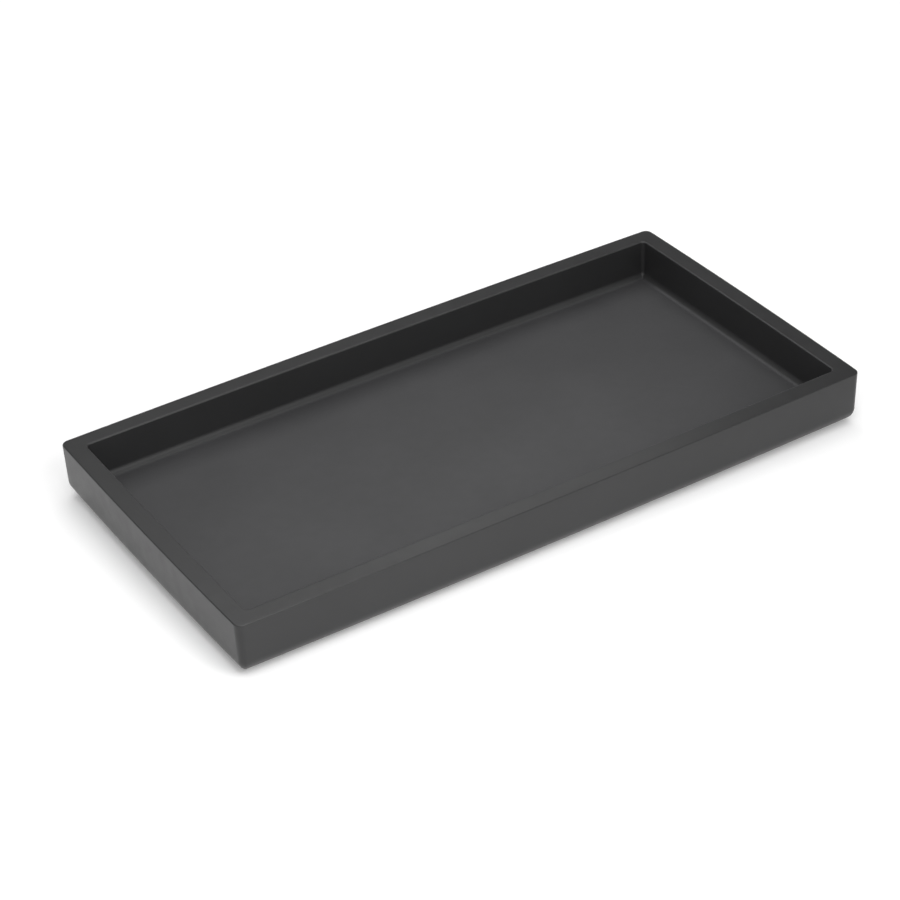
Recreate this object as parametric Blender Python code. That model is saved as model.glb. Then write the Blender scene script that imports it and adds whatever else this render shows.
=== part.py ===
"""Silicone tray: a silicone moulding sprung over a pressed steel pan, with a pad and four feet below.

Run it with blender --background --python part.py, or from the text editor.
Metres, +Z up. The origin is on the table, under the middle of the tray. X runs along the tray,
the front is towards -Y and the left end towards -X.
"""

import math

import bmesh
import bpy

# Moulding, seen from above. The length and width are taken at the corners.
TRAY_LENGTH = 0.300
TRAY_WIDTH = 0.1514
END_BOW = 0.0008  # the middle of an end wall stands out this much further than its corners
SIDE_BOW = 0.0011  # the same for a long wall
WELL_BOW_SHARE = 0.5  # the walls of the well follow this share of the outside's bow
CORNER_RADIUS = 0.0032
WELL_CORNER_RADIUS = 0.002
LEAST_CORNER_RADIUS = 0.0004

# Moulding, in section
WELL_DEPTH = 0.0182
OUTER_SKIN = 0.0032  # silicone outside the pan's upstand
INNER_SKIN = 0.0032  # silicone between the upstand and the well
RIM_SKIN = 0.0032  # silicone over the top of the upstand
FLOOR_SKIN = 0.0025  # silicone over the pan's floor
LIP_THICKNESS = 0.0024  # the lip under the pan's edge, and the pad that fills the opening in it
LIP_LAND = 0.003  # flat ring between the round base edge and the opening
WALL_DRAFT = 0.0004  # how far a wall face leans over its height
RIM_OUTER_RADIUS = 0.0005
RIM_INNER_RADIUS = 0.0006
WELL_FLOOR_RADIUS = 0.003
BASE_EDGE_RADIUS = 0.007

# Pan, pressed from one sheet of stainless steel
SHEET_THICKNESS = 0.001
PAN_BEND_RADIUS = 0.003  # outside of the bend between floor and upstand
PAN_CORNER_RADIUS = 0.004

# Pad
PAD_CORNER_RADIUS = 0.004
PAD_CHAMFER = 0.0005

# Push-in feet
FOOT_DIAMETER = 0.016
FOOT_PROUD = 0.001  # height of the base above the table
FOOT_SEAT_DEPTH = 0.001  # depth of the round seat in the pad
FOOT_CHAMFER = 0.0004
FOOT_FROM_END = 0.024
FOOT_FROM_SIDE = 0.024
STEM_DIAMETER = 0.006
HEAD_DIAMETER = 0.0084
HEAD_THICKNESS = 0.0009
HEAD_TAPER = 0.0009  # the head narrows by this much towards its top, so that it enters the hole

GAP = 0.0003  # between pieces that touch
CUT_OVERRUN = 0.001

# Facets
CORNER_STEPS = 6
END_STEPS = 8
SIDE_STEPS = 14
SMALL_ARC_STEPS = 3
LARGE_ARC_STEPS = 6
ROUND_STEPS = 24
SMOOTH_ANGLE = math.radians(35)

# Heights, stacked up from the table
BASE_Z = FOOT_PROUD
LIP_TOP_Z = BASE_Z + LIP_THICKNESS
PAN_Z = LIP_TOP_Z + GAP
PAN_FLOOR_Z = PAN_Z + SHEET_THICKNESS
CEILING_Z = PAN_FLOOR_Z + GAP
WELL_Z = CEILING_Z + FLOOR_SKIN
RIM_Z = WELL_Z + WELL_DEPTH
GROOVE_TOP_Z = RIM_Z - RIM_SKIN
UPSTAND_TOP_Z = GROOVE_TOP_Z - GAP
SEAT_Z = BASE_Z + FOOT_SEAT_DEPTH
FOOT_DISC_TOP_Z = SEAT_Z - GAP
HEAD_TOP_Z = CEILING_Z + HEAD_THICKNESS

# Insets from the straight line through the outer corners
PAN_INSET = OUTER_SKIN + GAP
UPSTAND_INNER_INSET = PAN_INSET + SHEET_THICKNESS
RIM_WIDTH = UPSTAND_INNER_INSET + GAP + INNER_SKIN
OPENING_INSET = WALL_DRAFT + BASE_EDGE_RADIUS + LIP_LAND
PAD_INSET = OPENING_INSET + GAP

# Each family of walls keeps its corners concentric: an inset, and the corner radius there
OUTSIDE = (0, CORNER_RADIUS)
WELL = (RIM_WIDTH, WELL_CORNER_RADIUS)
PAN = (PAN_INSET, PAN_CORNER_RADIUS)
PAD = (PAD_INSET, PAD_CORNER_RADIUS)

FOOT_X = TRAY_LENGTH / 2 - FOOT_FROM_END
FOOT_Y = TRAY_WIDTH / 2 - FOOT_FROM_SIDE
FOOT_PLACES = {
    "foot_front_left": (-FOOT_X, -FOOT_Y),
    "foot_front_right": (FOOT_X, -FOOT_Y),
    "foot_back_left": (-FOOT_X, FOOT_Y),
    "foot_back_right": (FOOT_X, FOOT_Y),
}


def clear_scene():
    for obj in list(bpy.data.objects):
        bpy.data.objects.remove(obj, do_unlink=True)


def make_material(name, colour, roughness, metallic=0.0):
    material = bpy.data.materials.new(name)
    material.use_nodes = True
    shader = material.node_tree.nodes["Principled BSDF"]
    shader.inputs["Base Color"].default_value = (*colour, 1.0)
    shader.inputs["Roughness"].default_value = roughness
    shader.inputs["Metallic"].default_value = metallic
    return material


def spread(start, end, steps):
    """The places that cut the way from start to end into equal steps, without its two ends."""
    return [start + (end - start) * step / steps for step in range(1, steps)]


def outline(family, inset, bow_share=0.0):
    """The tray's plan at an inset, anticlockwise: a rectangle with round corners and bowed sides."""
    family_inset, family_radius = family
    radius = max(family_radius + family_inset - inset, LEAST_CORNER_RADIUS)
    half_x = TRAY_LENGTH / 2 - inset
    half_y = TRAY_WIDTH / 2 - inset
    straight_x = half_x - radius
    straight_y = half_y - radius
    points = []
    for quarter, (side_x, side_y) in enumerate(((1, -1), (1, 1), (-1, 1), (-1, -1))):
        for step in range(CORNER_STEPS + 1):
            angle = math.radians(90) * (quarter - 1 + step / CORNER_STEPS)
            x = side_x * straight_x + radius * math.cos(angle)
            y = side_y * straight_y + radius * math.sin(angle)
            points.append((x, y))
        if side_x == side_y:
            across = spread(side_x * straight_x, -side_x * straight_x, SIDE_STEPS)
            points += [(x, side_y * half_y) for x in across]
        else:
            along = spread(side_y * straight_y, -side_y * straight_y, END_STEPS)
            points += [(side_x * half_x, y) for y in along]
    return [bowed(x, y, half_x, half_y, bow_share) for x, y in points]


def bowed(x, y, half_x, half_y, share):
    """A point of a rectangle's edge, moved out as far as the bow of its side asks."""
    out_x = END_BOW * share * (1 - (y / half_y) ** 2)
    out_y = SIDE_BOW * share * (1 - (x / half_x) ** 2)
    return x + math.copysign(out_x, x), y + math.copysign(out_y, y)


def ring(family, inset, z, bow_share=0.0):
    return [(x, y, z) for x, y in outline(family, inset, bow_share)]


def circle(radius, z):
    angles = [2 * math.pi * step / ROUND_STEPS for step in range(ROUND_STEPS)]
    return [(radius * math.cos(angle), radius * math.sin(angle), z) for angle in angles]


def arc(centre, radius, start, end, steps):
    """Insets and heights along an arc in the section, from one angle to another in degrees."""
    inset, z = centre
    places = []
    for step in range(steps + 1):
        angle = math.radians(start + (end - start) * step / steps)
        places.append((inset + radius * math.cos(angle), z + radius * math.sin(angle)))
    return places


def loft(name, rings):
    """A closed mesh over rings with equal numbers of points, with a flat face across each end."""
    mesh = bpy.data.meshes.new(name)
    bm = bmesh.new()
    loops = [[bm.verts.new(point) for point in points] for points in rings]
    for lower, upper in zip(loops, loops[1:]):
        for here in range(len(lower)):
            there = (here + 1) % len(lower)
            bm.faces.new((lower[here], lower[there], upper[there], upper[here]))
    bm.faces.new(loops[0])
    bm.faces.new(loops[-1])
    bmesh.ops.recalc_face_normals(bm, faces=bm.faces)
    bm.to_mesh(mesh)
    bm.free()
    return mesh


def place(name, mesh, material, parent, location=(0, 0, 0)):
    """An object for a piece, shaded smooth except at its real edges."""
    obj = bpy.data.objects.new(name, mesh)
    obj.location = location
    obj.parent = parent
    if not mesh.materials:
        mesh.materials.append(material)
        mesh.shade_smooth()
        mesh.set_sharp_from_angle(angle=SMOOTH_ANGLE)
    bpy.context.scene.collection.objects.link(obj)
    return obj


def place_cutters(name, diameter, bottom, top, parent):
    """One round cutter at each foot."""
    mesh = loft(name, [circle(diameter / 2, bottom), circle(diameter / 2, top)])
    cutters = []
    for foot, (x, y) in FOOT_PLACES.items():
        cutter = bpy.data.objects.new(f"{name}_{foot}", mesh)
        cutter.location = (x, y, 0)
        cutter.parent = parent
        cutter.hide_render = True
        cutter.display_type = "WIRE"
        bpy.context.scene.collection.objects.link(cutter)
        cutters.append(cutter)
    return cutters


def cut(obj, cutters):
    for cutter in cutters:
        modifier = obj.modifiers.new(cutter.name, "BOOLEAN")
        modifier.operation = "DIFFERENCE"
        modifier.solver = "EXACT"
        modifier.object = cutter


def well_rings():
    """The well, from the edge of its floor up its walls and over the rim's inner edge."""
    floor_centre = (RIM_WIDTH + WALL_DRAFT + WELL_FLOOR_RADIUS, WELL_Z + WELL_FLOOR_RADIUS)
    edge_centre = (RIM_WIDTH - RIM_INNER_RADIUS, RIM_Z - RIM_INNER_RADIUS)
    section = arc(floor_centre, WELL_FLOOR_RADIUS, -90, -180, LARGE_ARC_STEPS)
    section += arc(edge_centre, RIM_INNER_RADIUS, 0, 90, SMALL_ARC_STEPS)
    return [ring(WELL, inset, z, WELL_BOW_SHARE) for inset, z in section]


def outside_rings():
    """The outside, from the rim's outer edge down the walls to the flat of the base."""
    edge_centre = (RIM_OUTER_RADIUS, RIM_Z - RIM_OUTER_RADIUS)
    base_centre = (WALL_DRAFT + BASE_EDGE_RADIUS, BASE_Z + BASE_EDGE_RADIUS)
    section = arc(edge_centre, RIM_OUTER_RADIUS, 90, 180, SMALL_ARC_STEPS)
    section += arc(base_centre, BASE_EDGE_RADIUS, 180, 270, LARGE_ARC_STEPS)
    return [ring(OUTSIDE, inset, z, 1.0) for inset, z in section]


def pocket_rings():
    """The space for the pad, the pan's floor and its upstand, from the opening up to the pocket's ceiling."""
    opening = [ring(PAD, OPENING_INSET, z) for z in (BASE_Z, LIP_TOP_Z)]
    outer_radius = PAN_BEND_RADIUS + GAP
    inner_radius = max(PAN_BEND_RADIUS - SHEET_THICKNESS - GAP, LEAST_CORNER_RADIUS)
    groove_outer = PAN_INSET - GAP
    groove_inner = UPSTAND_INNER_INSET + GAP
    bend_centre = (groove_outer + outer_radius, LIP_TOP_Z + outer_radius)
    ceiling_centre = (groove_inner + inner_radius, CEILING_Z + inner_radius)
    section = arc(bend_centre, outer_radius, 270, 180, LARGE_ARC_STEPS)
    section += [(groove_outer, GROOVE_TOP_Z), (groove_inner, GROOVE_TOP_Z)]
    section += arc(ceiling_centre, inner_radius, 180, 270, SMALL_ARC_STEPS)
    return opening + [ring(PAN, inset, z) for inset, z in section]


def make_body(material, parent):
    mesh = loft("tray_body", well_rings() + outside_rings() + pocket_rings())
    body = place("tray_body", mesh, material, parent)
    space = HEAD_DIAMETER + 2 * GAP
    cut(body, place_cutters("head_space", space, CEILING_Z - GAP, HEAD_TOP_Z + GAP, parent))
    return body


def make_pan(material, parent):
    """The pressed pan: a flat floor, a bend all round and an upstand that stands in the moulding's wall."""
    inner_radius = max(PAN_BEND_RADIUS - SHEET_THICKNESS, LEAST_CORNER_RADIUS)
    bend_centre = (PAN_INSET + PAN_BEND_RADIUS, PAN_Z + PAN_BEND_RADIUS)
    floor_centre = (UPSTAND_INNER_INSET + inner_radius, PAN_FLOOR_Z + inner_radius)
    section = arc(bend_centre, PAN_BEND_RADIUS, 270, 180, LARGE_ARC_STEPS)
    section += [(PAN_INSET, UPSTAND_TOP_Z), (UPSTAND_INNER_INSET, UPSTAND_TOP_Z)]
    section += arc(floor_centre, inner_radius, 180, 270, SMALL_ARC_STEPS)
    mesh = loft("core_pan", [ring(PAN, inset, z) for inset, z in section])
    pan = place("core_pan", mesh, material, parent)
    hole = STEM_DIAMETER + 2 * GAP
    cut(pan, place_cutters("pan_hole", hole, PAN_Z - CUT_OVERRUN, PAN_FLOOR_Z + CUT_OVERRUN, parent))
    return pan


def make_pad(material, parent):
    """The pad that fills the opening in the base, with a round seat and a hole for each foot."""
    section = [(PAD_INSET + PAD_CHAMFER, BASE_Z), (PAD_INSET, BASE_Z + PAD_CHAMFER), (PAD_INSET, LIP_TOP_Z)]
    mesh = loft("base_pad", [ring(PAD, inset, z) for inset, z in section])
    pad = place("base_pad", mesh, material, parent)
    seat = FOOT_DIAMETER + 2 * GAP
    hole = STEM_DIAMETER + 2 * GAP
    cut(pad, place_cutters("foot_seat", seat, BASE_Z - CUT_OVERRUN, SEAT_Z, parent))
    cut(pad, place_cutters("pad_hole", hole, BASE_Z - CUT_OVERRUN, LIP_TOP_Z + CUT_OVERRUN, parent))
    return pad


def make_feet(material, parent):
    """Four alike: a disc under the pad, a stem through pad and pan, and a head that has sprung out above."""
    radius = FOOT_DIAMETER / 2
    section = [
        (radius - FOOT_CHAMFER, 0),
        (radius, FOOT_CHAMFER),
        (radius, FOOT_DISC_TOP_Z),
        (STEM_DIAMETER / 2, FOOT_DISC_TOP_Z),
        (STEM_DIAMETER / 2, CEILING_Z),
        (HEAD_DIAMETER / 2, CEILING_Z),
        ((HEAD_DIAMETER - HEAD_TAPER) / 2, HEAD_TOP_Z),
    ]
    mesh = loft("foot", [circle(reach, z) for reach, z in section])
    for name, (x, y) in FOOT_PLACES.items():
        place(name, mesh, material, parent, location=(x, y, 0))


def main():
    clear_scene()
    tray = bpy.data.objects.new("tray", None)
    bpy.context.scene.collection.objects.link(tray)
    silicone = make_material("silicone", (0.034, 0.034, 0.035), 0.5)
    pad_silicone = make_material("pad_silicone", (0.030, 0.030, 0.031), 0.6)
    foot_rubber = make_material("foot_rubber", (0.020, 0.020, 0.021), 0.65)
    steel = make_material("stainless_steel", (0.55, 0.55, 0.54), 0.32, metallic=1.0)
    make_body(silicone, tray)
    make_pan(steel, tray)
    make_pad(pad_silicone, tray)
    make_feet(foot_rubber, tray)


main()
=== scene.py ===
"""Looks of the silicone tray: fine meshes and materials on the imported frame, in a plain white studio.

Metres, +Z up, in the frame's own axes: X along the tray, the front towards -Y.
"""

import math

import bmesh
import bpy
from mathutils import Matrix, Vector


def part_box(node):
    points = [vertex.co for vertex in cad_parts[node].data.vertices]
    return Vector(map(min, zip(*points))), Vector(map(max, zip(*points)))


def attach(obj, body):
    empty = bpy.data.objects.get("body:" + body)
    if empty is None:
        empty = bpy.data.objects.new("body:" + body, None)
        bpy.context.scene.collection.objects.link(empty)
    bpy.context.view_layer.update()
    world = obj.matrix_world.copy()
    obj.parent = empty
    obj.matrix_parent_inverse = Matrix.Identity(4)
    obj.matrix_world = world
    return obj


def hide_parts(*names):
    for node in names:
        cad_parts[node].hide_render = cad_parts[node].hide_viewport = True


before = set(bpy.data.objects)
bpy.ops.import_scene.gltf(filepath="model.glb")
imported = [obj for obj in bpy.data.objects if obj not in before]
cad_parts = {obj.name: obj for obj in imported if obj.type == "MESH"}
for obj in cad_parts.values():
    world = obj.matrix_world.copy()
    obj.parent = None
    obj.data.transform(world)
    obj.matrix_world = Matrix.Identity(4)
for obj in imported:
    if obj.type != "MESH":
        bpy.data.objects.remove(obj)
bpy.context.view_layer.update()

# Camera of the photograph: where it stood, how it was turned, and its focal length
CAMERA_PLACE = (-0.4802, -0.7765, 0.6265)
CAMERA_YAW = math.radians(31.31)
CAMERA_PITCH = math.radians(34.27)
CAMERA_ROLL = math.radians(2.53)
FOCAL_PIXELS = 2621
FRAME_PIXELS = 900
SENSOR_MM = 36

# Moulding: what the frame's boxes don't say
END_BOW = 0.0008
SIDE_BOW = 0.0011
WELL_BOW_SHARE = 0.5  # the well's walls bow half as far as the outside
CORNER_RADIUS = 0.0032
WELL_CORNER_RADIUS = 0.002
LEAST_CORNER_RADIUS = 0.0004
RIM_WIDTH = 0.008
WELL_DEPTH = 0.0182
WALL_DRAFT = 0.0004
RIM_OUTER_RADIUS = 0.0005
RIM_INNER_RADIUS = 0.0006
WELL_FLOOR_RADIUS = 0.003
BASE_EDGE_RADIUS = 0.007
FLAT_MARGIN = 0.001  # a flat's outer strip, which keeps a round edge's shading off the flat

# Pan and pad
PAN_CORNER_RADIUS = 0.004
PAN_BEND_RADIUS = 0.003
PAN_SHEET = 0.001
PAD_CORNER_RADIUS = 0.004
PAD_EDGE_RADIUS = 0.0006
GAP = 0.0003  # between two pieces that touch
CUT_OVERRUN = 0.001

# Feet
FOOT_EDGE_RADIUS = 0.0005
FOOT_SEAT_DEPTH = 0.001
FOOT_DIMPLE_RADIUS = 0.002
FOOT_DIMPLE_DEPTH = 0.0004
FOOT_DIMPLE_CENTRE = 0.0002  # radius of the small face in the dimple's middle
STEM_DIAMETER = 0.006
HEAD_DIAMETER = 0.0084
HEAD_TAPER = 0.0009

# Finish of the moulding: its well's floor is rougher than its walls and rim, and paler as painted light,
# the sheen on the upward floor; the round foot of the walls keeps mostly the darker colour as painted shade
WALL_COLOUR = (0.019, 0.019, 0.0195)
# the floor's paler colour is painted light: the sheen of the upward floor
FLOOR_PAINTED_SHEEN_COLOUR = (0.039, 0.039, 0.0405)
WALL_ROUGHNESS = 0.35
FLOOR_ROUGHNESS = 0.5
# the painted light sets in only towards the floor's flat, so the round foot of the walls stays mostly dark
# as painted shade
PAINTED_SHEEN_RISE = (0.8, 1)  # upward parts of the normal between which the floor's colour sets in
ROUGHNESS_RISE = (0, 0.4)  # the same for its roughness
RUBBER_IOR = 1.45

# Texture of the moulding: features or cells a metre, and how far each moves the tone, roughness
# or surface
CLOUD_SCALE = 26
CLOUD_SWING = 0.07
SPECK_SCALE = 420
SPECK_SIZE = 0.1  # a speck's radius, in cells
SPECK_SHARE = 0.05  # of the cells have a speck
SPECK_LIFT = 0.2
MOTTLE_SCALE = 150
MOTTLE_SWING = 0.03
WAVE_SCALE = 22
WAVE_HEIGHT = 0.00018
GRAIN_SCALE = 2600
GRAIN_HEIGHT = 0.00001

# Finish of the pad and the feet: colour, roughness and pebbles a metre, and the texture they share
PAD_FINISH = ((0.03, 0.03, 0.031), 0.6, 1500)
FOOT_FINISH = ((0.02, 0.02, 0.021), 0.65, 2400)
MATT_CLOUD_SCALE = 35
MATT_CLOUD_SWING = 0.12
MATT_MOTTLE_SCALE = 190
MATT_MOTTLE_SWING = 0.05
PEBBLE_HEIGHT = 0.00004

# Finish of the pan: cloudy steel with fine lines along the tray
STEEL_DARK = (0.5, 0.5, 0.49)
STEEL_LIGHT = (0.6, 0.6, 0.59)
STEEL_CLOUD_SCALE = 40
STEEL_ROUGHNESS = (0.26, 0.4)
LINE_SCALE = 3200
LINE_STRETCH = (0.02, 1, 1)
LINE_HEIGHT = 0.000006

# Most of a noise lies between these two
NOISE_LOW = 0.3
NOISE_HIGH = 0.7

# Studio: how bright the sky is at each height above the horizon, in degrees, on each side
SKY_HEIGHTS = (0, 10, 20, 30, 36, 44, 60, 90)
SKY_BACK = (1.0, 1.0, 0.1, 0.1, 0.1, 0.1, 0.15, 3.0)
SKY_RIGHT = (1.0, 1.0, 0.4, 0.1, 0.1, 0.15, 0.6, 3.0)
SKY_FRONT = (1.0, 1.0, 1.55, 1.6, 1.15, 0.85, 0.9, 3.0)
SKY_LEFT = (1.0, 1.0, 0.55, 0.5, 0.3, 0.45, 0.85, 3.0)
SKY_PEAK = 3  # a colour ramp holds 0 to 1, so it holds shares of this
LEAST_LEVEL = 0.0001  # keeps a division from zero straight overhead
TABLE_SIZE = 20
TABLE_WHITE = (0.9, 0.9, 0.9)
TABLE_FILL = 0.12  # what it gives off towards the camera and reflections, to reach white

# Lamps: place, the point that it aims at, width and height of its face, and watts
FRONT_LAMP = ((-0.1, -0.25, 0.25), (-0.1, -0.1, 0), (0.2, 0.2), 0.45)
BACK_LAMP = ((0.1, 0.5, 0.7), (0, 0, 0), (0.4, 0.4), 0.95)
RIM_LAMP = ((0.18, 0.2, 0.3), (0.18, -0.07, 0.03), (0.22, 0.12), 0.125)

# Facets: the steps in each round or bowed stretch
CORNER_STEPS = 16
END_STEPS = 36
SIDE_STEPS = 64
EDGE_STEPS = 8
BASE_STEPS = 18
WELL_FLOOR_STEPS = 12
ROUND_STEPS = 72
SMOOTH_ANGLE = math.radians(40)

# Worked out from the frame
BODY_LOW, BODY_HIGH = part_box("tray_body")
PAN_LOW, PAN_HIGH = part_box("core_pan")
PAD_LOW, PAD_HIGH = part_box("base_pad")
FEET = ("foot_front_left", "foot_front_right", "foot_back_left", "foot_back_right")
FOOT_LOW, FOOT_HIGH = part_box(FEET[0])
FOOT_RADIUS = (FOOT_HIGH.x - FOOT_LOW.x) / 2
HALF_LENGTH = BODY_HIGH.x - END_BOW
HALF_WIDTH = BODY_HIGH.y - SIDE_BOW
RIM_Z = BODY_HIGH.z
BASE_Z = BODY_LOW.z
WELL_Z = RIM_Z - WELL_DEPTH
LIP_TOP_Z = PAD_HIGH.z
PAN_FLOOR_Z = PAN_LOW.z + PAN_SHEET
CEILING_Z = PAN_FLOOR_Z + GAP
SEAT_Z = BASE_Z + FOOT_SEAT_DEPTH
PAN_INSET = HALF_LENGTH - PAN_HIGH.x
UPSTAND_INNER_INSET = PAN_INSET + PAN_SHEET
PAD_INSET = HALF_LENGTH - PAD_HIGH.x
OPENING_INSET = PAD_INSET - GAP

# Each family of walls keeps its corners concentric: an inset, and the corner radius there
OUTSIDE = (0, CORNER_RADIUS)
WELL = (RIM_WIDTH, WELL_CORNER_RADIUS)
PAN = (PAN_INSET, PAN_CORNER_RADIUS)
PAD = (PAD_INSET, PAD_CORNER_RADIUS)


def spread(start, end, steps):
    """The places that cut the way from start to end into equal steps, without its two ends."""
    return [start + (end - start) * step / steps for step in range(1, steps)]


def outline(family, inset, bow_share):
    """The tray's plan at an inset, anticlockwise: a rectangle with round corners and bowed sides."""
    family_inset, family_radius = family
    radius = max(family_radius + family_inset - inset, LEAST_CORNER_RADIUS)
    half_x = HALF_LENGTH - inset
    half_y = HALF_WIDTH - inset
    straight_x = half_x - radius
    straight_y = half_y - radius
    points = []
    for quarter, (side_x, side_y) in enumerate(((1, -1), (1, 1), (-1, 1), (-1, -1))):
        for step in range(CORNER_STEPS + 1):
            angle = math.radians(90) * (quarter - 1 + step / CORNER_STEPS)
            x = side_x * straight_x + radius * math.cos(angle)
            y = side_y * straight_y + radius * math.sin(angle)
            points.append((x, y))
        if side_x == side_y:
            across = spread(side_x * straight_x, -side_x * straight_x, SIDE_STEPS)
            points += [(x, side_y * half_y) for x in across]
        else:
            along = spread(side_y * straight_y, -side_y * straight_y, END_STEPS)
            points += [(side_x * half_x, y) for y in along]
    return [bowed(x, y, half_x, half_y, bow_share) for x, y in points]


def bowed(x, y, half_x, half_y, share):
    """A point of a rectangle's edge, moved out as far as the bow of its side asks."""
    out_x = END_BOW * share * (1 - (y / half_y) ** 2)
    out_y = SIDE_BOW * share * (1 - (x / half_x) ** 2)
    return x + math.copysign(out_x, x), y + math.copysign(out_y, y)


def ring(family, inset, z, bow_share=0.0):
    """The tray's plan at an inset and a height, with straight sides unless a share of the bow is asked."""
    return [(x, y, z) for x, y in outline(family, inset, bow_share)]


def circle(radius, z):
    angles = [2 * math.pi * step / ROUND_STEPS for step in range(ROUND_STEPS)]
    return [(radius * math.cos(angle), radius * math.sin(angle), z) for angle in angles]


def arc(centre, radius, start, end, steps):
    """Places along an arc in a section, from one angle to another in degrees."""
    places = []
    for step in range(steps + 1):
        angle = math.radians(start + (end - start) * step / steps)
        places.append((centre[0] + radius * math.cos(angle), centre[1] + radius * math.sin(angle)))
    return places


def loft(name, rings):
    """A closed mesh over rings with equal numbers of points, with a flat face across each end."""
    mesh = bpy.data.meshes.new(name)
    bm = bmesh.new()
    loops = [[bm.verts.new(point) for point in points] for points in rings]
    for lower, upper in zip(loops, loops[1:]):
        for here in range(len(lower)):
            there = (here + 1) % len(lower)
            bm.faces.new((lower[here], lower[there], upper[there], upper[here]))
    bm.faces.new(loops[0])
    bm.faces.new(loops[-1])
    bmesh.ops.recalc_face_normals(bm, faces=bm.faces)
    bm.to_mesh(mesh)
    bm.free()
    mesh.shade_smooth()
    mesh.set_sharp_from_angle(angle=SMOOTH_ANGLE)
    return mesh


def piece(name, mesh, material, node, location=(0, 0, 0)):
    """A visible piece that stands for a CAD node and rides on the tray."""
    obj = bpy.data.objects.new(name, mesh)
    obj.location = location
    mesh.materials.append(material)
    bpy.context.scene.collection.objects.link(obj)
    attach(obj, "root")
    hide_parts(node)
    return obj


def well_rings():
    """The well, from the middle of its floor up its walls and over the rim's inner edge."""
    foot_inset = RIM_WIDTH + WALL_DRAFT
    floor_centre = (foot_inset + WELL_FLOOR_RADIUS, WELL_Z + WELL_FLOOR_RADIUS)
    edge_centre = (RIM_WIDTH - RIM_INNER_RADIUS, RIM_Z - RIM_INNER_RADIUS)
    section = [(floor_centre[0] + FLAT_MARGIN, WELL_Z)]
    section += arc(floor_centre, WELL_FLOOR_RADIUS, -90, -180, WELL_FLOOR_STEPS)
    section += arc(edge_centre, RIM_INNER_RADIUS, 0, 90, EDGE_STEPS)
    section += [(edge_centre[0] - FLAT_MARGIN, RIM_Z)]
    return [ring(WELL, inset, z, WELL_BOW_SHARE) for inset, z in section]


def outside_rings():
    """The outside, from the rim's outer edge down the walls to the flat of the base."""
    edge_centre = (RIM_OUTER_RADIUS, RIM_Z - RIM_OUTER_RADIUS)
    base_centre = (WALL_DRAFT + BASE_EDGE_RADIUS, BASE_Z + BASE_EDGE_RADIUS)
    section = [(edge_centre[0] + FLAT_MARGIN, RIM_Z)]
    section += arc(edge_centre, RIM_OUTER_RADIUS, 90, 180, EDGE_STEPS)
    section += arc(base_centre, BASE_EDGE_RADIUS, 180, 270, BASE_STEPS)
    section += [(base_centre[0] + FLAT_MARGIN, BASE_Z)]
    return [ring(OUTSIDE, inset, z, bow_share=1.0) for inset, z in section]


def pocket_rings():
    """The space for the pad, the pan's floor and its upstand, from the opening up to the ceiling."""
    opening = [ring(PAD, OPENING_INSET, z) for z in (BASE_Z, LIP_TOP_Z)]
    outer_radius = PAN_BEND_RADIUS + GAP
    inner_radius = PAN_BEND_RADIUS - PAN_SHEET - GAP
    groove_outer = PAN_INSET - GAP
    groove_inner = UPSTAND_INNER_INSET + GAP
    groove_top = PAN_HIGH.z + GAP
    bend_centre = (groove_outer + outer_radius, LIP_TOP_Z + outer_radius)
    ceiling_centre = (groove_inner + inner_radius, CEILING_Z + inner_radius)
    section = arc(bend_centre, outer_radius, 270, 180, EDGE_STEPS)
    section += [(groove_outer, groove_top), (groove_inner, groove_top)]
    section += arc(ceiling_centre, inner_radius, 180, 270, EDGE_STEPS)
    return opening + [ring(PAN, inset, z) for inset, z in section]


def foot_place(foot):
    """The point on the table under a foot's middle."""
    low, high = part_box(foot)
    return (low.x + high.x) / 2, (low.y + high.y) / 2, 0


def cut_at_feet(obj, radius, bottom, top):
    """Cuts a round space into a piece at each foot."""
    for foot in FEET:
        mesh = loft("cutter", [circle(radius, z) for z in (bottom, top)])
        cutter = bpy.data.objects.new("cutter", mesh)
        cutter.location = foot_place(foot)
        bpy.context.scene.collection.objects.link(cutter)
        modifier = obj.modifiers.new("cut", "BOOLEAN")
        modifier.object = cutter
        bpy.context.view_layer.objects.active = obj
        bpy.ops.object.modifier_apply(modifier=modifier.name)
        bpy.data.objects.remove(cutter)
    obj.data.set_sharp_from_angle(angle=SMOOTH_ANGLE)


def make_body(material):
    """The moulding, with room over the pan for the head of each foot."""
    mesh = loft("moulding", well_rings() + outside_rings() + pocket_rings())
    body = piece("moulding", mesh, material, "tray_body")
    cut_at_feet(body, HEAD_DIAMETER / 2 + GAP, CEILING_Z - GAP, FOOT_HIGH.z + GAP)


def make_pad(material):
    """The pad under the tray, with a round seat and a hole at each foot."""
    edge_centre = (PAD_INSET + PAD_EDGE_RADIUS, PAD_LOW.z + PAD_EDGE_RADIUS)
    section = [(edge_centre[0] + FLAT_MARGIN, PAD_LOW.z)]
    section += arc(edge_centre, PAD_EDGE_RADIUS, 270, 180, EDGE_STEPS)
    section += [(PAD_INSET, PAD_HIGH.z)]
    mesh = loft("pad", [ring(PAD, inset, z) for inset, z in section])
    pad = piece("pad", mesh, material, "base_pad")
    bottom = PAD_LOW.z - CUT_OVERRUN
    cut_at_feet(pad, FOOT_RADIUS + GAP, bottom, SEAT_Z)
    cut_at_feet(pad, STEM_DIAMETER / 2 + GAP, bottom, PAD_HIGH.z + CUT_OVERRUN)


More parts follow.
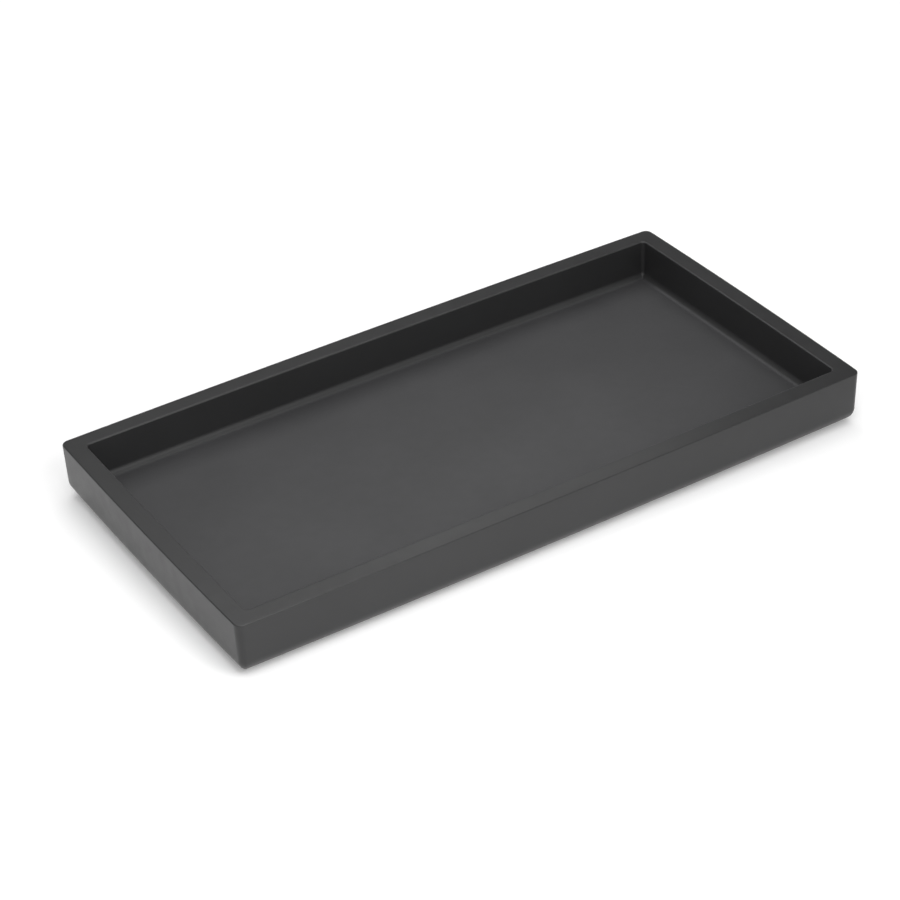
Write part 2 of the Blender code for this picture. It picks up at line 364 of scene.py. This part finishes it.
def foot_section():
    """A foot's section: a disc with a dimple under it, a stem through pad and pan, and a head."""
    disc_top = SEAT_Z - GAP
    stem_radius = STEM_DIAMETER / 2
    edge_centre = (FOOT_RADIUS - FOOT_EDGE_RADIUS, FOOT_EDGE_RADIUS)
    section = [(FOOT_DIMPLE_CENTRE, FOOT_DIMPLE_DEPTH), (FOOT_DIMPLE_RADIUS, FOOT_DIMPLE_DEPTH)]
    section += [(FOOT_DIMPLE_RADIUS + FOOT_DIMPLE_DEPTH, 0)]
    section += arc(edge_centre, FOOT_EDGE_RADIUS, -90, 0, EDGE_STEPS)
    section += [(FOOT_RADIUS, disc_top), (stem_radius, disc_top), (stem_radius, CEILING_Z)]
    section += [(HEAD_DIAMETER / 2, CEILING_Z), ((HEAD_DIAMETER - HEAD_TAPER) / 2, FOOT_HIGH.z)]
    return section


def make_feet(material):
    """Four alike, each in its own place."""
    rings = [circle(reach, z) for reach, z in foot_section()]
    for foot in FEET:
        place = foot_place(foot)
        piece(f"{foot}_turned", loft(foot, rings), material, foot, location=place)


def dress_pan(material):
    """The pan keeps its CAD solid and gets a finish."""
    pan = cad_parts["core_pan"]
    pan.data.materials.clear()
    pan.data.materials.append(material)


def new_material(name):
    material = bpy.data.materials.new(name)
    material.use_nodes = True
    tree = material.node_tree
    return material, tree, tree.nodes["Principled BSDF"]


def feed(tree, socket, value):
    """Links a socket's source, or sets its number."""
    if isinstance(value, bpy.types.NodeSocket):
        tree.links.new(value, socket)
    else:
        socket.default_value = value


def math_node(tree, operation, *values):
    made = tree.nodes.new("ShaderNodeMath")
    made.operation = operation
    for socket, value in zip(made.inputs, values):
        feed(tree, socket, value)
    return made.outputs["Value"]


def square(tree, value):
    return math_node(tree, "MULTIPLY", value, value)


def parts_of(tree, vector):
    """The X, Y and Z of a vector."""
    made = tree.nodes.new("ShaderNodeSeparateXYZ")
    tree.links.new(vector, made.inputs["Vector"])
    return [made.outputs[axis] for axis in "XYZ"]


def noise(tree, coordinates, scale, detail, roughness=0.5):
    made = tree.nodes.new("ShaderNodeTexNoise")
    made.inputs["Scale"].default_value = scale
    made.inputs["Detail"].default_value = detail
    made.inputs["Roughness"].default_value = roughness
    tree.links.new(coordinates, made.inputs["Vector"])
    return made.outputs["Fac"]


def between(tree, factor, low, high, start=NOISE_LOW, end=NOISE_HIGH):
    """A value that goes from low to high as the factor goes from start to end."""
    made = tree.nodes.new("ShaderNodeMapRange")
    for name, value in (("From Min", start), ("From Max", end), ("To Min", low), ("To Max", high)):
        feed(tree, made.inputs[name], value)
    tree.links.new(factor, made.inputs["Value"])
    return made.outputs["Result"]


def blend_colour(tree, factor, low, high):
    made = tree.nodes.new("ShaderNodeMix")
    made.data_type = "RGBA"
    made.inputs["A"].default_value = (*low, 1)
    made.inputs["B"].default_value = (*high, 1)
    tree.links.new(factor, made.inputs["Factor"])
    return made.outputs["Result"]


def scaled(tree, colour, factor):
    made = tree.nodes.new("ShaderNodeVectorMath")
    made.operation = "SCALE"
    tree.links.new(colour, made.inputs["Vector"])
    tree.links.new(factor, made.inputs["Scale"])
    return made.outputs["Vector"]


def bump(tree, height, distance, after=None):
    made = tree.nodes.new("ShaderNodeBump")
    made.inputs["Distance"].default_value = distance
    tree.links.new(height, made.inputs["Height"])
    if after is not None:
        tree.links.new(after, made.inputs["Normal"])
    return made.outputs["Normal"]


def dust(tree, coordinates, scale, size, share):
    """1 on sparse round specks: in a share of the cells, as wide as size asks."""
    cells = tree.nodes.new("ShaderNodeTexVoronoi")
    cells.inputs["Scale"].default_value = scale
    tree.links.new(coordinates, cells.inputs["Vector"])
    chance = tree.nodes.new("ShaderNodeSeparateColor")
    tree.links.new(cells.outputs["Color"], chance.inputs["Color"])
    chosen = math_node(tree, "LESS_THAN", chance.outputs["Red"], share)
    near = between(tree, cells.outputs["Distance"], 1, 0, size / 2, size)
    return math_node(tree, "MULTIPLY", chosen, near)


def floor_share(tree, coordinates, normal, start, end):
    """1 on the floor of the well and 0 on its walls and everywhere else: start and end are the
    upward parts of the normal between which the share rises, on the round foot of the walls."""
    height = parts_of(tree, coordinates)[2]
    facing = parts_of(tree, normal)[2]
    low = math_node(tree, "LESS_THAN", height, WELL_Z + WELL_FLOOR_RADIUS)
    upward = between(tree, facing, 0, 1, start, end)
    return math_node(tree, "MULTIPLY", low, upward)


def silicone_material():
    """The moulding: a smoother skin on the walls and rim, and a matter floor whose paler colour is painted
    light, its sheen, with the round foot of the walls left mostly dark as painted shade; faint specks of
    dust all over.
    """
    material, tree, shader = new_material("moulded_silicone")
    source = tree.nodes.new("ShaderNodeTexCoord")
    place = source.outputs["Object"]
    # Painted light: the floor's paler colour stands for its sheen; the round foot of the walls stays mostly
    # dark as painted shade
    painted_sheen_share = floor_share(tree, place, source.outputs["Normal"], *PAINTED_SHEEN_RISE)
    rough = floor_share(tree, place, source.outputs["Normal"], *ROUGHNESS_RISE)
    clouds = between(tree, noise(tree, place, CLOUD_SCALE, detail=3), 1 - CLOUD_SWING, 1 + CLOUD_SWING)
    specks = dust(tree, place, SPECK_SCALE, SPECK_SIZE, SPECK_SHARE)
    tone = math_node(tree, "ADD", clouds, math_node(tree, "MULTIPLY", specks, SPECK_LIFT))
    colour = blend_colour(tree, painted_sheen_share, WALL_COLOUR, FLOOR_PAINTED_SHEEN_COLOUR)
    tree.links.new(scaled(tree, colour, tone), shader.inputs["Base Color"])
    mottle = between(tree, noise(tree, place, MOTTLE_SCALE, detail=4), -MOTTLE_SWING, MOTTLE_SWING)
    finish = between(tree, rough, WALL_ROUGHNESS, FLOOR_ROUGHNESS, 0, 1)
    tree.links.new(math_node(tree, "ADD", finish, mottle), shader.inputs["Roughness"])
    waves = bump(tree, noise(tree, place, WAVE_SCALE, detail=2), WAVE_HEIGHT)
    grain = noise(tree, place, GRAIN_SCALE, detail=3, roughness=0.6)
    tree.links.new(bump(tree, grain, GRAIN_HEIGHT, after=waves), shader.inputs["Normal"])
    shader.inputs["IOR"].default_value = RUBBER_IOR
    return material


def matt_material(name, colour, roughness, pebbles):
    """Matt rubber or silicone with a pebbled skin from its mould."""
    material, tree, shader = new_material(name)
    place = tree.nodes.new("ShaderNodeTexCoord").outputs["Object"]
    dark = [channel * (1 - MATT_CLOUD_SWING) for channel in colour]
    light = [channel * (1 + MATT_CLOUD_SWING) for channel in colour]
    clouds = noise(tree, place, MATT_CLOUD_SCALE, detail=3)
    tree.links.new(blend_colour(tree, clouds, dark, light), shader.inputs["Base Color"])
    mottle = noise(tree, place, MATT_MOTTLE_SCALE, detail=4)
    finish = between(tree, mottle, roughness - MATT_MOTTLE_SWING, roughness + MATT_MOTTLE_SWING)
    tree.links.new(finish, shader.inputs["Roughness"])
    skin = noise(tree, place, pebbles, detail=2, roughness=0.4)
    tree.links.new(bump(tree, skin, PEBBLE_HEIGHT), shader.inputs["Normal"])
    shader.inputs["IOR"].default_value = RUBBER_IOR
    return material


def steel_material():
    """Rolled and brushed stainless sheet, with its fine lines along the tray."""
    material, tree, shader = new_material("brushed_steel")
    place = tree.nodes.new("ShaderNodeTexCoord").outputs["Object"]
    stretch = tree.nodes.new("ShaderNodeMapping")
    stretch.inputs["Scale"].default_value = LINE_STRETCH
    tree.links.new(place, stretch.inputs["Vector"])
    lines = noise(tree, stretch.outputs["Vector"], LINE_SCALE, detail=4, roughness=0.6)
    clouds = noise(tree, place, STEEL_CLOUD_SCALE, detail=2)
    colour = blend_colour(tree, clouds, STEEL_DARK, STEEL_LIGHT)
    tree.links.new(colour, shader.inputs["Base Color"])
    tree.links.new(between(tree, lines, *STEEL_ROUGHNESS), shader.inputs["Roughness"])
    tree.links.new(bump(tree, lines, LINE_HEIGHT), shader.inputs["Normal"])
    shader.inputs["Metallic"].default_value = 1.0
    return material


def make_camera():
    data = bpy.data.cameras.new("photo_camera")
    data.sensor_width = SENSOR_MM
    data.lens = FOCAL_PIXELS / FRAME_PIXELS * SENSOR_MM
    camera = bpy.data.objects.new("photo_camera", data)
    turn = Matrix.Rotation(-CAMERA_YAW, 4, "Z")
    tilt = Matrix.Rotation(math.radians(90) - CAMERA_PITCH, 4, "X")
    roll = Matrix.Rotation(-CAMERA_ROLL, 4, "Z")
    camera.matrix_world = Matrix.Translation(CAMERA_PLACE) @ turn @ tilt @ roll
    bpy.context.scene.collection.objects.link(camera)
    bpy.context.scene.camera = camera


def make_table():
    """A wide white table, lifted to full white for the camera and reflections, with its shadows kept."""
    mesh = bpy.data.meshes.new("studio_floor")
    half = TABLE_SIZE / 2
    corners = [(-half, -half, 0), (half, -half, 0), (half, half, 0), (-half, half, 0)]
    mesh.from_pydata(corners, [], [(0, 1, 2, 3)])
    table = bpy.data.objects.new("studio_floor", mesh)
    bpy.context.scene.collection.objects.link(table)
    material, tree, shader = new_material("studio_floor")
    shader.inputs["Base Color"].default_value = (*TABLE_WHITE, 1)
    shader.inputs["Roughness"].default_value = 1.0
    shader.inputs["Specular IOR Level"].default_value = 0.0
    shader.inputs["Emission Color"].default_value = (1, 1, 1, 1)
    rays = tree.nodes.new("ShaderNodeLightPath").outputs
    seen = math_node(tree, "MAXIMUM", rays["Is Camera Ray"], rays["Is Glossy Ray"])
    seen = math_node(tree, "MAXIMUM", seen, rays["Is Transmission Ray"])
    fill = math_node(tree, "MULTIPLY", seen, TABLE_FILL)
    tree.links.new(fill, shader.inputs["Emission Strength"])
    mesh.materials.append(material)


def sky_ramp(tree, upward, strengths):
    """How bright one side of the sky is. A new ramp's two stops are the horizon and straight overhead."""
    ramp = tree.nodes.new("ShaderNodeValToRGB")
    stops = ramp.color_ramp.elements
    colours = [(strength / SKY_PEAK,) * 3 + (1,) for strength in strengths]
    stops[0].color = colours[0]
    stops[-1].color = colours[-1]
    for height, colour in zip(SKY_HEIGHTS[1:-1], colours[1:-1]):
        stops.new(math.sin(math.radians(height))).color = colour
    tree.links.new(upward, ramp.inputs["Fac"])
    return ramp.outputs["Color"]


def make_world():
    """Soft light from all round: a ramp up the sky on each of the four sides, blended by bearing."""
    world = bpy.data.worlds.new("studio")
    bpy.context.scene.world = world
    world.use_nodes = True
    tree = world.node_tree
    x, y, z = parts_of(tree, tree.nodes.new("ShaderNodeTexCoord").outputs["Generated"])
    level = math_node(tree, "ADD", square(tree, x), square(tree, y))
    level = math_node(tree, "MAXIMUM", level, LEAST_LEVEL)
    total = 0.0
    sides = ((x, 1, SKY_RIGHT), (x, -1, SKY_LEFT), (y, 1, SKY_BACK), (y, -1, SKY_FRONT))
    for axis, sign, strengths in sides:
        toward = math_node(tree, "MAXIMUM", math_node(tree, "MULTIPLY", axis, sign), 0.0)
        share = math_node(tree, "DIVIDE", square(tree, toward), level)
        part = math_node(tree, "MULTIPLY", share, sky_ramp(tree, z, strengths))
        total = math_node(tree, "ADD", total, part)
    back = tree.nodes["Background"]
    back.inputs["Color"].default_value = (1, 1, 1, 1)
    tree.links.new(math_node(tree, "MULTIPLY", total, SKY_PEAK), back.inputs["Strength"])


def make_lamp(name, place, aim, size, power):
    """A soft lamp with a rectangular face, turned towards the point that it aims at and not itself seen."""
    data = bpy.data.lights.new(name, "AREA")
    data.energy = power
    data.shape = "RECTANGLE"
    data.size, data.size_y = size
    lamp = bpy.data.objects.new(name, data)
    lamp.location = place
    lamp.rotation_euler = (Vector(aim) - Vector(place)).to_track_quat("-Z", "Y").to_euler()
    lamp.visible_camera = False
    bpy.context.scene.collection.objects.link(lamp)


make_camera()
make_body(silicone_material())
make_pad(matt_material("pad_rubber", *PAD_FINISH))
make_feet(matt_material("foot_skin", *FOOT_FINISH))
dress_pan(steel_material())
make_table()
make_world()
make_lamp("front_lamp", *FRONT_LAMP)
make_lamp("back_lamp", *BACK_LAMP)
make_lamp("rim_lamp", *RIM_LAMP)
bpy.context.scene.view_settings.view_transform = "Standard"
